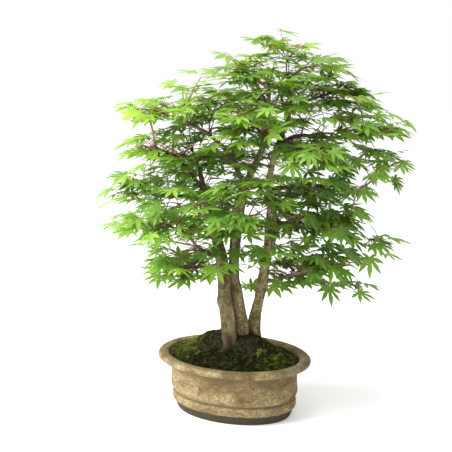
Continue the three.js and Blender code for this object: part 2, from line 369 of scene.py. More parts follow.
def potClay():
    made, tree, place = startMaterial("mottled_clay")
    xyz = node(tree, "SeparateXYZ", {"Vector": place}).outputs
    broad = grain(tree, stretched(tree, place, (1, 1, 1.6)), 21, 5, 0.6, 0.4)
    color = ramp(
        tree, broad, [(0.32, pot["brown"]), (0.43, pot["ochre"]), (0.53, pot["cream"]), (0.70, pot["pale"])],
    )
    body = spread(tree, xyz["Z"], 0.090, 0.094, 1.0, 0.3)
    patches = grain(tree, stretched(tree, place, (1, 1, 2.4)), 60, 6, 0.72, 0.8)
    color = mixed(
        tree, sums(tree, "MULTIPLY", ramp(tree, patches, [(0.50, 0.0), (0.64, 0.75)]), body), color,
        pot["patch"],
    )
    cloudy = grain(tree, stretched(tree, place, (1, 1, 1.5)), 230, 6, 0.75)
    color = mixed(
        tree, 1.0, color, ramp(tree, cloudy, [(0.40, (0.55, 0.49, 0.42)), (0.58, (1.12, 1.11, 1.08))]),
        "MULTIPLY",
    )
    flecks = grain(tree, stretched(tree, place, (1, 1, 1.8)), 480, 4, 0.7)
    color = mixed(tree, ramp(tree, flecks, [(0.52, 0.0), (0.60, 0.7)]), color, pot["fleck"])
    values = {"Vector": stretched(tree, place, (1, 1, 1.6)), "Scale": 290.0, "Randomness": 1.0}
    cells = node(tree, "TexVoronoi", values, feature="DISTANCE_TO_EDGE")
    crackle = spread(tree, cells.outputs["Distance"], 0.0, 0.13, 1.0, 0.0)
    broken = ramp(tree, grain(tree, place, 70, 4), [(0.44, 0.15), (0.58, 0.75)])
    color = mixed(tree, sums(tree, "MULTIPLY", crackle, broken), color, pot["crack"])
    # grime with painted shade on the lip's top: grey-olive patches that grow towards +X, the side turned from
    # the key light
    grimeAndShade = sums(tree, "ADD", spread(tree, xyz["X"], 0.0, 0.15, 0.0, 0.16), grain(tree, place, 34, 5, 0.65))
    grimeAndShade = sums(tree, "MULTIPLY", spread(tree, grimeAndShade, 0.52, 0.72), spread(tree, xyz["Z"], 0.090, 0.096))
    color = mixed(tree, sums(tree, "MULTIPLY", grimeAndShade, 0.7), color, pot["grimeAndShade"])
    # painted shade: darker brown under the overhanging lip and in the recessed groove
    wander = grain(tree, place, 40, 4)
    high = sums(tree, "ADD", xyz["Z"], sums(tree, "MULTIPLY", sums(tree, "SUBTRACT", wander, 0.5), 0.04))
    lipShade = sums(
        tree, "MULTIPLY", spread(tree, high, 0.062, 0.086), spread(tree, xyz["Z"], 0.0905, 0.0935, 1.0, 0.0),
    )
    color = mixed(tree, sums(tree, "MULTIPLY", lipShade, 0.7), color, pot["shadeUnderLip"])
    off = sums(tree, "ABSOLUTE", sums(tree, "SUBTRACT", xyz["Z"], pot["groove"]))
    color = mixed(
        tree, sums(tree, "MULTIPLY", spread(tree, off, 0.0008, 0.0035, 1.0, 0.0), 0.8), color, pot["shadeInGroove"]
    )
    # bare dark foot with a ragged edge
    ragged = sums(
        tree, "ADD", xyz["Z"],
        sums(tree, "MULTIPLY", sums(tree, "SUBTRACT", grain(tree, place, 150, 5), 0.5), 0.009),
    )
    footColor = mixed(tree, grain(tree, place, 300, 4), *pot["foot"])
    foot = spread(tree, ragged, pot["footTop"] - 0.0012, pot["footTop"] + 0.0016, 1.0, 0.0)
    color = mixed(tree, foot, color, footColor)
    rough = ramp(tree, cloudy, [(0.3, 0.65), (0.7, 0.88)])
    pits = node(tree, "TexVoronoi", {"Vector": place, "Scale": 420.0}).outputs["Distance"]
    normal = bumped(
        tree,
        (grain(tree, place, 75, 5, 0.6), 0.0014, 0.6),
        (pits, 0.0007, 0.4),
        (crackle, 0.0004, -0.45),
        (grain(tree, place, 1300, 3), 0.00025, 0.5),
    )
    endMaterial(tree, surface(tree, color, rough, normal, 0.18))
    return made


finished(potBody, potClay(), "pot_clay", "pot")


# Soil on the mound.

mound = {
    "profile": [
        (0, 142.5), (25, 141.5), (42, 138.5), (54, 132), (64, 124.5), (74, 117), (84, 111),
        (98, 104.5), (111, 100.5), (116.7, 98),
    ],
    "steps": 120,
    "lumps": 0.0022,
    "grains": 1500,
    "browns": [(0.35, (0.008, 0.006, 0.004)), (0.56, (0.028, 0.021, 0.012)), (0.74, (0.090, 0.066, 0.036))],
    "green": (0.034, 0.040, 0.011),
    "seed": 5,
}


def moundHeight(x, y):  # the mound's height in metres at a place in metres
    r = ovalRadius(x, y) * 1000
    line = mound["profile"]
    for (r0, z0), (r1, z1) in zip(line, line[1:]):
        if r <= r1:
            t = (r - r0) / (r1 - r0)
            return (z0 + (z1 - z0) * t) / 1000
    return 0.098


def groundHeight(x, y):  # the mound with its lumps
    at = Vector((x, y, 0))
    lump = noise.noise(at * 60) + 0.7 * noise.noise(at * 150 + Vector((3, 1, 0)))
    edge = clipped((0.1165 - ovalRadius(x, y)) / 0.02)
    return moundHeight(x, y) + mound["lumps"] * lump * edge


soilSide = [(115.6, 92), (110.1, 84), (108.2, 60), (102.7, 18.3), (97.7, 12.2), (0, 12.2)]
soilTop = [(r, 1000 * moundHeight(r / 1000, 0)) for r in [*range(0, 116, 3), 116.7]]
soilBody = turnedOval("soil_mound", soilTop + soilSide, mound["steps"])
for v in soilBody.data.vertices:
    if v.co.z > 0.0975:
        v.co.z = groundHeight(v.co.x, v.co.y)
smooth(soilBody)


def darkSoil():
    made, tree, place = startMaterial("damp_soil")
    fine = grain(tree, place, 420, 5, 0.7)
    color = ramp(tree, fine, mound["browns"])
    green = grain(tree, place, 55, 4)
    color = mixed(tree, ramp(tree, green, [(0.46, 0.0), (0.60, 0.7)]), color, mound["green"])
    normal = bumped(tree, (grain(tree, place, 160, 5, 0.7), 0.002, 0.8), (fine, 0.0009, 0.9))
    endMaterial(tree, surface(tree, color, 0.92, normal, 0.1))
    return made


soilMaterial = darkSoil()
finished(soilBody, soilMaterial, "soil", "soil")


def soilGrains():
    picks = random.Random(mound["seed"])
    bpy.ops.mesh.primitive_ico_sphere_add(subdivisions=1, radius=1)
    stone = bpy.context.object
    shape = [v.co.copy() for v in stone.data.vertices]
    faces = [tuple(f.vertices) for f in stone.data.polygons]
    bpy.data.objects.remove(stone)
    places, made = [], []
    while len(made) < mound["grains"] * len(faces):
        x, y = picks.uniform(-0.116, 0.116), picks.uniform(-0.081, 0.081)
        if ovalRadius(x, y) > 0.115:
            continue
        size = 0.0007 + 0.0013 * picks.random() ** 2
        spin = Matrix.Rotation(picks.uniform(0, 6.3), 3, "Z") @ Matrix.Rotation(picks.uniform(0, 3), 3, "X")
        squash = Vector((picks.uniform(0.7, 1.3), picks.uniform(0.7, 1.2), picks.uniform(0.5, 0.9)))
        at = Vector((x, y, groundHeight(x, y) + 0.3 * size))
        lump = [at + spin @ Vector((c.x * squash.x, c.y * squash.y, c.z * squash.z)) * size for c in shape]
        addCopy(places, made, lump, faces)
    return newMesh("soil_grains", places, made)


finished(soilGrains(), soilMaterial, "soil")


# Moss.

moss = {
    "blades": 11,
    "height": (0.0022, 0.0048),
    "tufts": 5000,
    "seed": 11,
    "greens": [
        (0.0, (0.018, 0.017, 0.007)), (0.3, (0.048, 0.052, 0.014)), (0.6, (0.140, 0.165, 0.028)),
        (1.0, (0.36, 0.42, 0.06)),
    ],
    # where moss is thick: middle x, y, half-sizes in millimetres, in the part's frame, and how bright it is
    "patches": {
        "moss_left": (-80, -4, 36, 56, 0.95),
        "moss_front": (4, -58, 60, 26, 0.34),
        "moss_right": (84, -14, 40, 50, 0.78),
    },
    # taller bright tufts: x, y and height in millimetres
    "sprigs": [
        (59, -25, 13), (63, -21, 10), (55, -30, 9), (54, 26, 12), (49, 30, 10), (60, 22, 9), (86, -20, 8),
        (-60, -32, 9), (-84, 14, 8), (-50, -44, 8),
    ],
}


def mossTuft():
    picks = random.Random(moss["seed"])
    places, faces = [], []
    for k in range(moss["blades"]):
        turn = 2.4 * k
        lean = 0.25 + 0.75 * (k / moss["blades"])
        along = Vector((math.cos(turn), math.sin(turn), 0))
        across = Vector((-along.y, along.x, 0)) * 0.14
        foot = along * 0.25 * lean
        middle = foot + along * 0.25 * lean + Vector((0, 0, 0.55))
        tip = foot + along * (0.75 * lean) + Vector((0, 0, picks.uniform(0.8, 1.05) - 0.3 * lean))
        blade = [foot - across, foot + across, middle + across * 0.9, middle - across * 0.9, tip]
        addCopy(places, faces, blade, [(0, 1, 2, 3), (3, 2, 4)])
    return places, faces


def leaning(most, picks):  # a turn about Z after a lean of at most this many radians
    spin = Matrix.Rotation(picks.uniform(0, 6.3), 3, "Z")
    return spin @ Matrix.Rotation(picks.uniform(-most, most), 3, "X")


def mossCover():
    tuft, tuftFaces = mossTuft()
    picks = random.Random(moss["seed"] + 1)
    made = {name: ([], [], []) for name in [*moss["patches"], "moss_thin"]}
    count = 0
    while count < moss["tufts"]:
        x, y = picks.uniform(-0.116, 0.116), picks.uniform(-0.081, 0.081)
        if ovalRadius(x, y) > 0.1155:
            continue
        home, bright, best = "moss_thin", 0.15, 1.0
        for name, (px, py, ax, ay, light) in moss["patches"].items():
            away = math.hypot((x * 1000 - px) / ax, (y * 1000 - py) / ay)
            if away < best:
                home, best = name, away
                bright = light * (1 - 0.5 * away)
        thin = noise.noise(Vector((x, y, 0)) * 45)
        if home == "moss_thin" and (thin < -0.2 or picks.random() > (ovalRadius(x, y) - 0.03) / 0.03):
            continue
        count += 1
        clump = noise.noise(Vector((x, y, 1)) * 120)
        size = picks.uniform(*moss["height"]) * (0.7 if home == "moss_thin" else 1) * (1 + 0.6 * clump)
        at = Vector((x, y, groundHeight(x, y) - 0.0003))
        spin = leaning(0.35, picks)
        places, faces, tints = made[home]
        addCopy(places, faces, [at + spin @ c * size for c in tuft], tuftFaces)
        tint = clipped(bright + 0.5 * clump + picks.uniform(-0.2, 0.2))
        tints += [tint * (0.35 + 0.65 * min(1, c.z)) for c in tuft]
    places, faces, tints = made["moss_thin"]
    for x, y, tall in moss["sprigs"]:
        for _ in range(3):
            at = Vector((x / 1000 + picks.uniform(-0.002, 0.002), y / 1000 + picks.uniform(-0.002, 0.002), 0))
            at.z = groundHeight(at.x, at.y) - 0.0005
            spin = leaning(0.3, picks)
            sprig = [at + spin @ Vector((0.6 * c.x, 0.6 * c.y, c.z)) * tall / 1000 for c in tuft]
            addCopy(places, faces, sprig, tuftFaces)
            tints += [0.4 + 0.6 * clipped(c.z) for c in tuft]
    return made


def mossMaterial():
    made, tree, place = startMaterial("moss_green")
    tint = node(tree, "Attribute", attribute_name="tint").outputs["Fac"]
    color = ramp(tree, tint, moss["greens"])
    color = mixed(tree, 0.5, color, ramp(tree, grain(tree, place, 300), [(0.3, 0.5), (0.7, 1.0)]), "MULTIPLY")
    normal = bumped(tree, (grain(tree, place, 2500, 2), 0.0002, 0.5))
    endMaterial(tree, letsLight(tree, surface(tree, color, 0.8, normal, 0.15), color, 0.25))
    return made


mossGreen = mossMaterial()
for name, (places, faces, tints) in mossCover().items():
    piece = tinted(newMesh(name + "_tufts", places, faces), "tint", tints)
    finished(piece, mossGreen, "moss", *([name] if name in moss["patches"] else []))


# Drain screens.

def drainMesh():
    made, tree, place = startMaterial("black_plastic_mesh")
    dust = grain(tree, place, 260, 4)
    color = ramp(tree, dust, [(0.4, (0.012, 0.012, 0.012)), (0.8, (0.07, 0.06, 0.045))])
    normal = bumped(tree, (grain(tree, place, 900, 3), 0.0002, 0.4))
    endMaterial(tree, surface(tree, color, 0.5, normal))
    return made


plastic = drainMesh()
for side in ("left", "right"):
    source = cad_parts["drain_screen_" + side].data
    corners, faces = [v.co for v in source.vertices], [tuple(f.vertices) for f in source.polygons]
    piece = newMesh("screen_" + side, corners, faces)
    editAll(piece)
    bpy.ops.mesh.remove_doubles(threshold=1e-5)
    bpy.ops.mesh.tris_convert_to_quads()
    apply(edited(piece), "BEVEL", width=0.0003, segments=1, limit_method="ANGLE")
    finished(piece, plastic, "drain_mesh", "drain_screen_" + side)


# Wood.

# Each limb: points [x, y, z, radius] in the tree's frame, in millimetres.
trunkLines = {
    "trunk_left": [
        [-6, -21, 100, 16], [-6, -20, 122, 14.5], [-8, -20, 145, 12.8], [-11, -19, 172, 12.2],
        [-15, -17, 206, 12], [-17, -15, 241, 11], [-20, -13, 272, 10.3], [-27, -9, 305, 9.2],
        [-34, -5, 332, 8], [-47, 0, 380, 5.5], [-58, 8, 425, 4], [-70, 12, 460, 2.5],
    ],
    "trunk_middle": [
        [14, 0, 100, 16], [13, 0, 122, 14.5], [14, -1, 145, 12.5], [12, -1, 172, 11.5], [6, -1, 206, 10.8],
        [1, -1, 241, 9.5], [1, 0, 275, 9], [3, 1, 310, 9.2], [5, 2, 334, 9.8], [9, 2, 364, 10],
        [12, 2, 378, 10], [21, 0, 404, 7], [37, 0, 441, 6], [49, 0, 470, 5.5], [55, 0, 502, 5],
        [57, 0, 540, 4], [58, 0, 573, 2.5],
    ],
    "trunk_right": [
        [38, 10, 100, 15], [37, 10, 122, 13.5], [36, 10, 150, 12], [39, 9, 174, 10.3], [46, 7, 208, 9.3],
        [51, 6, 236, 9.3], [55, 5, 268, 8.5], [62, 5, 302, 10], [66, 5, 332, 12.5], [65, 6, 352, 9.5],
        [63, 6, 370, 7], [60, 8, 404, 5.5], [68, 8, 452, 5], [82, 6, 491, 4.5], [91, 5, 520, 4],
        [92, 4, 548, 3.2], [89, 4, 583, 2.2],
    ],
}
rootLines = [
    [[-8, -24, 9], [-20, -30, 7.5], [-32, -34, 4.5]],
    [[8, 6, 8], [-6, 22, 5.5], [-16, 32, 3.5]],
    [[40, 12, 8], [52, 17, 6], [62, 20, 3.5]],
    [[40, 6, 7], [49, 0, 5.5], [57, -6, 3.5]],
]
boughLines = {
    "bough_left_top": [
        [19, 0, 400, 4.5], [-5, -15, 452, 4.2], [-25, -28, 478, 3.4], [-51, -38, 499, 2.6],
        [-84, -45, 516, 1.6],
    ],
    "bough_left_upper": [
        [-50, 2, 393, 4], [-77, -20, 432, 3.2], [-100, -42, 460, 2.4], [-128, -55, 474, 1.5],
    ],
    "bough_left_mid": [[-44, 0, 368, 4], [-75, 18, 380, 3.2], [-114, 38, 378, 2.4], [-154, 50, 380, 1.5]],
    "bough_left_low": [[-25, -12, 280, 4], [-59, -35, 302, 3.2], [-79, -60, 332, 2.5], [-115, -85, 355, 1.5]],
    "bough_left_bottom": [
        [-24, -10, 268, 3.6], [-50, 15, 256, 2.8], [-76, 40, 250, 2.2], [-100, 60, 250, 1.5],
    ],
    "bough_front_low": [[5, 0, 312, 4], [7, -45, 332, 3.2], [9, -85, 346, 2.3], [12, -115, 354, 1.5]],
    "bough_back_low": [[7, 2, 322, 4], [-6, 45, 328, 3.2], [-21, 85, 331, 2.3], [-36, 125, 334, 1.5]],
    "bough_right_low": [[53, 6, 230, 3.6], [88, -12, 246, 3], [125, -35, 264, 2.2], [163, -55, 280, 1.5]],
    "bough_right_mid": [[66, 5, 338, 4.2], [107, -15, 339, 3.2], [148, -32, 336, 2.4], [189, -48, 341, 1.5]],
    "bough_right_reach": [
        [60, 8, 396, 4], [111, 22, 398, 3.2], [153, 35, 397, 2.8], [195, 45, 391, 2.2], [222, 50, 388, 1.8],
        [251, 52, 412, 1.4],
    ],
    "bough_back_right": [[64, 6, 370, 3.8], [90, 50, 370, 3.2], [116, 90, 370, 2.3], [145, 125, 369, 1.5]],
    "bough_right_upper": [
        [76, 7, 473, 3.6], [107, -8, 488, 3.2], [145, -20, 487, 2.6], [190, -32, 488, 2], [225, -38, 497, 1.4]
    ],
    "bough_right_top": [[92, 4, 534, 3], [123, 18, 544, 2.6], [153, 32, 552, 2], [184, 42, 561, 1.4]],
    "bough_front_upper": [[50, 0, 476, 3.4], [42, -40, 498, 2.8], [33, -78, 511, 2], [24, -108, 520, 1.4]],
    "bough_back_upper": [[54, 0, 494, 3.4], [42, 42, 506, 2.8], [29, 84, 513, 2], [19, 120, 518, 1.4]],
    "bough_top_left": [[57, 0, 537, 3], [41, -6, 564, 2.4], [27, -12, 585, 1.9], [15, -16, 602, 1.4]],
    "bough_front_right": [[79, 6, 483, 3.2], [98, -38, 476, 2.7], [114, -78, 468, 2], [130, -115, 463, 1.4]],
}
wood = {
    "sides": 44,
    "swell": 0.0013,  # broad unevenness of the trunks
    "ridge": 0.0006,  # long ridges and furrows
    "browns": [
        (0.36, (0.065, 0.050, 0.027)), (0.46, (0.124, 0.098, 0.051)), (0.57, (0.178, 0.135, 0.071)),
        (0.70, (0.217, 0.176, 0.099)),
    ],
    "lichen": (0.106, 0.111, 0.057),
    "pale": (0.247, 0.223, 0.141),
    "fleck": (0.030, 0.024, 0.012),
    "soiled": (0.022, 0.018, 0.007),  # at the foot, where soil splashes
    "boughPale": (0.203, 0.173, 0.124),
    # from old wood to leaf stalks
    "youngs": [
        (0.0, (0.116, 0.081, 0.048)), (0.4, (0.086, 0.041, 0.022)), (0.75, (0.263, 0.086, 0.037)),
        (1.0, (0.425, 0.203, 0.066)),
    ],
    # healed knots: x, y, z on the trunk's surface, radius and height, in millimetres
    "knots": [
        (10, -8, 371, 9, 2.6), (62, -6, 334, 11, 2.2), (-26, -22, 206, 13, 3.6),
        (24, -8, 150, 12, 2.6), (-6, -31, 186, 9, 1.6), (13, -12, 214, 8, 1.8),
        (33, 3, 164, 10, 2.2), (8, -12, 230, 7, 1.6), (57, -4, 262, 6, 1.4),
    ],
}


def asRun(points, per):
    run = []
    for x, y, z, r in smoothLine(points, per):
        at = inTree(x, y, z)
        run.append((at.x, at.y, at.z, r / 1000))
    return run


def trunks():
    runs = [asRun(line, 18) for line in trunkLines.values()]
    for line in rootLines:
        sunk = []
        for x, y, r in line:
            at = inTree(x, y, 0)
            sunk.append([x, y, 1000 * moundHeight(at.x, at.y) - 0.8 * r, r])
        runs.append(asRun(sunk, 14))
    piece = tubes("trunk_wood", runs, (wood["sides"] - 4) // 2)
    knots = [(inTree(x, y, z), r / 1000, h / 1000) for x, y, z, r, h in wood["knots"]]

    def swell(p, normal):
        broad = noise.noise(Vector((p.x * 75, p.y * 75, p.z * 34)))
        furrow = noise.noise(Vector((p.x * 330, p.y * 330, p.z * 46)))
        rings = noise.noise(Vector((p.x * 60, p.y * 60, p.z * 420)))
        thick = 1.0 if p.z < 0.34 else 0.55
        push = wood["swell"] * broad * thick + wood["ridge"] * thick * (furrow + 0.35 * rings)
        for middle, radius, height in knots:
            away = (p - middle).length / radius
            if away < 1.6:
                push += height * math.exp(-2.2 * away * away) - 0.5 * height * math.exp(-14 * away * away)
        return push

    pushed(piece, swell)
    return smooth(piece)


def barkMaterial():
    made, tree, place = startMaterial("maple_bark")
    xyz = node(tree, "SeparateXYZ", {"Vector": place}).outputs
    broad = grain(tree, stretched(tree, place, (1, 1, 0.45)), 42, 5, 0.6, 0.6)
    color = ramp(tree, broad, wood["browns"])
    streak = grain(tree, stretched(tree, place, (1, 1, 0.11)), 430, 4, 0.6)
    color = mixed(
        tree, 0.45, color, ramp(tree, streak, [(0.36, (0.45, 0.41, 0.36)), (0.6, (1.05, 1.05, 1.05))]),
        "MULTIPLY",
    )
    lichen = grain(tree, place, 85, 5, 0.65)
    color = mixed(tree, ramp(tree, lichen, [(0.50, 0.0), (0.60, 0.7)]), color, wood["lichen"])
    pale = grain(tree, place, 210, 4, 0.6)
    color = mixed(tree, ramp(tree, pale, [(0.57, 0.0), (0.67, 0.55)]), color, wood["pale"])
    worn = grain(tree, stretched(tree, place, (1, 1, 0.7)), 62, 5, 0.65, 0.5)
    color = mixed(
        tree, 0.8, color, ramp(tree, worn, [(0.40, (0.45, 0.41, 0.36)), (0.55, (1.06, 1.06, 1.06))]),
        "MULTIPLY",
    )
    dark = grain(tree, stretched(tree, place, (0.5, 0.5, 1.9)), 210, 4, 0.7)
    alongX = sums(tree, "MULTIPLY", xyz["X"], math.cos(treeTurn))
    across = sums(tree, "ADD", alongX, sums(tree, "MULTIPLY", xyz["Y"], math.sin(treeTurn)))
    other = spread(tree, across, -0.006, 0.001)
    flecked = sums(
        tree, "MULTIPLY", ramp(tree, dark, [(0.53, 0.0), (0.61, 0.92)]),
        spread(tree, other, 0.0, 1.0, 0.4, 1.0),
    )
    color = mixed(tree, flecked, color, wood["fleck"])
    # painted light: the middle and right trunks, which the left trunk shades from the key light, are painted
    # nearly twice as light and a little greyer, while the left trunk keeps about its own brown
    paintedLight = ramp(tree, other, [(0.0, (1.05, 1.03, 0.98)), (1.0, (1.85, 1.88, 1.80))])
    color = mixed(tree, 1.0, color, paintedLight, "MULTIPLY")
    rise = spread(tree, xyz["Z"], 0.24, 0.36)
    high = ramp(tree, rise, [(0.0, (1.0, 1.0, 1.0)), (1.0, (1.35, 1.38, 1.42))])
    color = mixed(tree, 1.0, color, high, "MULTIPLY")
    wander = sums(tree, "MULTIPLY", sums(tree, "SUBTRACT", grain(tree, place, 60, 4), 0.5), 0.035)
    soiled = spread(tree, sums(tree, "ADD", xyz["Z"], wander), 0.130, 0.156, 0.9, 0.0)
    color = mixed(tree, soiled, color, wood["soiled"])
    normal = bumped(
        tree, (streak, 0.0009, 0.7), (lichen, 0.0008, 0.4), (dark, 0.0007, -0.6),
        (grain(tree, place, 1500, 3), 0.0002, 0.6),
    )
    endMaterial(tree, surface(tree, color, 0.82, normal, 0.12))
    return made


finished(trunks(), barkMaterial(), "bark", *trunkLines)


def boughWood():
    piece = tubes("bough_wood", [asRun(line, 12) for line in boughLines.values()], 2)
    pushed(piece, lambda p, normal: 0.0006 * noise.noise(p * 120) + 0.0003 * noise.noise(p * 400))
    return smooth(piece)


def twigMaterial():
    made, tree, place = startMaterial("young_bark")
    young = node(tree, "Attribute", attribute_name="young").outputs["Fac"]
    color = ramp(tree, young, wood["youngs"])
    streak = grain(tree, stretched(tree, place, (1, 1, 0.5)), 500, 4)
    color = mixed(tree, 0.6, color, ramp(tree, streak, [(0.35, 0.45), (0.65, 1.15)]), "MULTIPLY")
    pale = grain(tree, place, 160, 4)
    old = spread(tree, young, 0.0, 0.25, 0.7, 0.0)
    worn = sums(tree, "MULTIPLY", ramp(tree, pale, [(0.5, 0.0), (0.62, 1.0)]), old)
    color = mixed(tree, worn, color, wood["boughPale"])
    normal = bumped(tree, (streak, 0.0004, 0.6), (grain(tree, place, 1600, 2), 0.00015, 0.5))
    endMaterial(tree, surface(tree, color, 0.6, normal))
    return made


youngBark = twigMaterial()
finished(tinted(boughWood(), "young", 0.05), youngBark, "twig", *boughLines)


# Leaves.

leafShape = {
    "lobes": [0, 34, 70, 116],  # degrees from the middle lobe, then mirrored
    "lengths": [1.0, 0.94, 0.76, 0.40],
    "widths": [0.120, 0.115, 0.105, 0.07],
    "sinuses": [(17, 0.28), (52, 0.25), (93, 0.17), (145, 0.06)],
    "width": (0.056, 0.084),  # a leaf's span from side to side, in metres
    "shadeWidth": (0.042, 0.062),
}


def lobe(turn, length, width, left, right):  # one pointed lobe: a grid of 2 by 4 faces shaped about its vein
    bpy.ops.mesh.primitive_grid_add(x_subdivisions=2, y_subdivisions=4, size=1, calc_uvs=True)
    piece = bpy.context.object
    rows = {}
    for v in piece.data.vertices:
        rows.setdefault(round((v.co.y + 0.5) * 4), {})[round(v.co.x * 2)] = v
    angle = math.radians(turn)

    def put(vertex, x, y):
        vertex.co = (x * math.cos(angle) - y * math.sin(angle), x * math.sin(angle) + y * math.cos(angle), 0)

    for column in (-1, 0, 1):
        put(rows[0][column], 0, 0)
        put(rows[4][column], length, 0)
    for row, along, half in ((2, 0.55, 1.0), (3, 0.79, 0.52)):
        for column in (-1, 0, 1):
            put(rows[row][column], length * along, -column * width * half)
    put(rows[1][0], 0.29 * length, 0)
    for column, (away, reach) in ((-1, left), (1, right)):
        far = math.radians(away - turn)
        put(rows[1][column], reach * math.cos(far), reach * math.sin(far))
    return piece


def leafBlade(name, variant):
    picks = random.Random(variant)
    pieces = []
    angles = leafShape["lobes"]
    for i, turn in enumerate(angles):
        for side in ((1,) if i == 0 else (1, -1)):
            outer = leafShape["sinuses"][i]
            inner = leafShape["sinuses"][i - 1] if i else outer
            if i == 0:
                left, right = (outer[0], outer[1]), (-outer[0], outer[1])
            elif side == 1:
                left, right = (outer[0], outer[1]), (inner[0], inner[1])
            else:
                left, right = (-inner[0], inner[1]), (-outer[0], outer[1])
            length = leafShape["lengths"][i] * picks.uniform(0.93, 1.05)
            pieces.append(lobe(side * turn, length, leafShape["widths"][i], left, right))
    blade = joined(name, pieces)
    editAll(blade)
    bpy.ops.mesh.remove_doubles(threshold=0.003)
    edited(blade)
    droop = picks.uniform(0.02, 0.20)
    cup = picks.uniform(0.03, 0.12)
    twist = picks.uniform(-0.12, 0.12)
    for v in blade.data.vertices:
        r = math.hypot(v.co.x, v.co.y)
        turn = math.atan2(v.co.y, v.co.x)
        vein = min(abs(turn - math.radians(s * a)) for a in angles for s in (1, -1))
        fold = cup * min(r, 0.5) * math.sin(min(vein * 3, math.pi / 2))
        wave = 0.06 * r * math.sin(5 * turn + variant)
        v.co.z = fold - droop * r**2 + wave * r + twist * v.co.y * r
    if blade.data.polygons[0].normal.z < 0:
        blade.data.flip_normals()
    return smooth(blade)


leafModels = [leafBlade(f"leaf_model_{k}", k) for k in range(6)]
leafSpan = 1.86  # the model's span from side to side

foliage = {
    "petiole": 0.0005,
    "twig": 0.0011,
    "leaves": 15,  # for a spray of average size
    "shade": 5,  # leafy side shoots on each bough
    "hang": 24,  # how much more the leaves at the outer sides hang, in degrees
    "fillStep": 37,  # spacing of the thin shoots that fill the crown, across and up, in millimetres
    "fillRise": 24,
    "crownFloor": 222,  # height of the lowest thin shoots, in millimetres
    "bareTwigs": 16,  # on each bough
    "trunkTwigs": 22,  # on each trunk
    "greens": [
        (0.0, (0.351, 0.559, 0.068)), (0.3, (0.222, 0.403, 0.051)), (0.6, (0.118, 0.254, 0.038)),
        (1.0, (0.057, 0.150, 0.025)),
    ],
    "vein": (0.34, 0.48, 0.13),
    "glow": (0.25, 0.44, 0.025),
    "through": 0.42,  # how much light passes through a leaf
    "seed": 3,
}
# Each spray: its middle, half-width and half-depth, where its twig starts, and how old its green is, with
# painted light and shade mixed in: low, back and right-hand sprays are given darker, older greens, high left
# ones the youngest.
sprays = {
    "leaves_crown": ([86, 2, 642], [64, 60], [89, 4, 578], 0.05),
    "leaves_top_left": ([14, -15, 616], [50, 52], [17, -15, 598], 0.0),
    "leaves_top_right": ([160, 26, 606], [54, 58], [152, 31, 551], 0.2),
    "leaves_top_back": ([108, 88, 588], [62, 48], [91, 6, 560], 0.4),
    "leaves_top_front": ([62, -64, 584], [56, 46], [58, 0, 560], 0.25),
    "leaves_left_top_end": ([-130, -46, 542], [76, 58], [-82, -45, 515], 0.0),
    "leaves_left_top": ([-34, -20, 556], [60, 54], [-40, -34, 490], 0.05),
    "leaves_upper_back": ([16, 124, 536], [64, 50], [20, 116, 517], 0.5),
    "leaves_upper_front": ([22, -112, 538], [60, 48], [25, -104, 519], 0.3),
    "leaves_upper_right": ([118, -52, 536], [56, 46], [112, -10, 488], 0.35),
    "leaves_right_top_end": ([208, 54, 556], [58, 54], [182, 41, 560], 0.3),
    "leaves_right_upper_end": ([240, -40, 510], [66, 58], [221, -37, 496], 0.35),
    "leaves_left_upper_end": ([-142, -56, 482], [54, 52], [-125, -54, 473], 0.1),
    "leaves_left_upper": ([-78, -18, 474], [50, 46], [-88, -30, 446], 0.25),
    "leaves_mid_back": ([-8, 78, 456], [60, 52], [40, 4, 446], 0.75),
    "leaves_front_right": ([132, -116, 474], [60, 50], [127, -108, 464], 0.4),
    "leaves_right_reach": ([188, 66, 432], [60, 56], [176, 41, 394], 0.55),
    "leaves_right_reach_end": ([280, 50, 444], [42, 38], [248, 52, 409], 0.4),
    "leaves_left_mid_end": ([-182, 52, 388], [64, 58], [-151, 49, 380], 0.25),
    "leaves_left_mid": ([-92, 28, 404], [50, 50], [-84, 22, 380], 0.5),
    "leaves_front_mid": ([6, -96, 416], [68, 46], [19, -2, 396], 0.35),
    "leaves_back_right": ([146, 128, 382], [64, 50], [141, 121, 369], 0.75),
    "leaves_left_low_end": ([-142, -90, 360], [64, 52], [-112, -83, 353], 0.3),
    "leaves_left_low": ([-70, -72, 350], [46, 42], [-82, -62, 335], 0.4),
    "leaves_left_bottom": ([-98, 62, 258], [66, 54], [-94, 55, 250], 0.35),
    "leaves_front_low": ([2, -112, 366], [64, 46], [12, -110, 352], 0.5),
    "leaves_back_low": ([-38, 128, 346], [64, 50], [-34, 118, 333], 0.7),
    "leaves_right_mid_end": ([190, -52, 356], [60, 56], [185, -46, 340], 0.5),
    "leaves_right_mid": ([112, -36, 366], [48, 44], [104, -14, 339], 0.55),
    "leaves_right_low_end": ([176, -56, 288], [58, 50], [158, -53, 278], 0.6),
    "leaves_right_low": ([108, 22, 262], [46, 44], [96, -16, 250], 0.7),
    "leaves_right_droop": ([248, -30, 312], [44, 42], [189, -46, 341], 0.6),
}

twigRuns, petioleRuns = [], []


def twigRun(a, b, start, end, arch, picks):  # a slightly bent twig from a to b, in metres
    side = Vector((picks.uniform(-1, 1), picks.uniform(-1, 1), picks.uniform(-0.4, 0.4)))
    middle = (a + b) / 2 + Vector((0, 0, arch)) + side * 0.08 * (b - a).length
    line = smoothLine([[*a, start], [*middle, (start + end) / 2], [*b, end]], 3)
    return [tuple(p) for p in line]


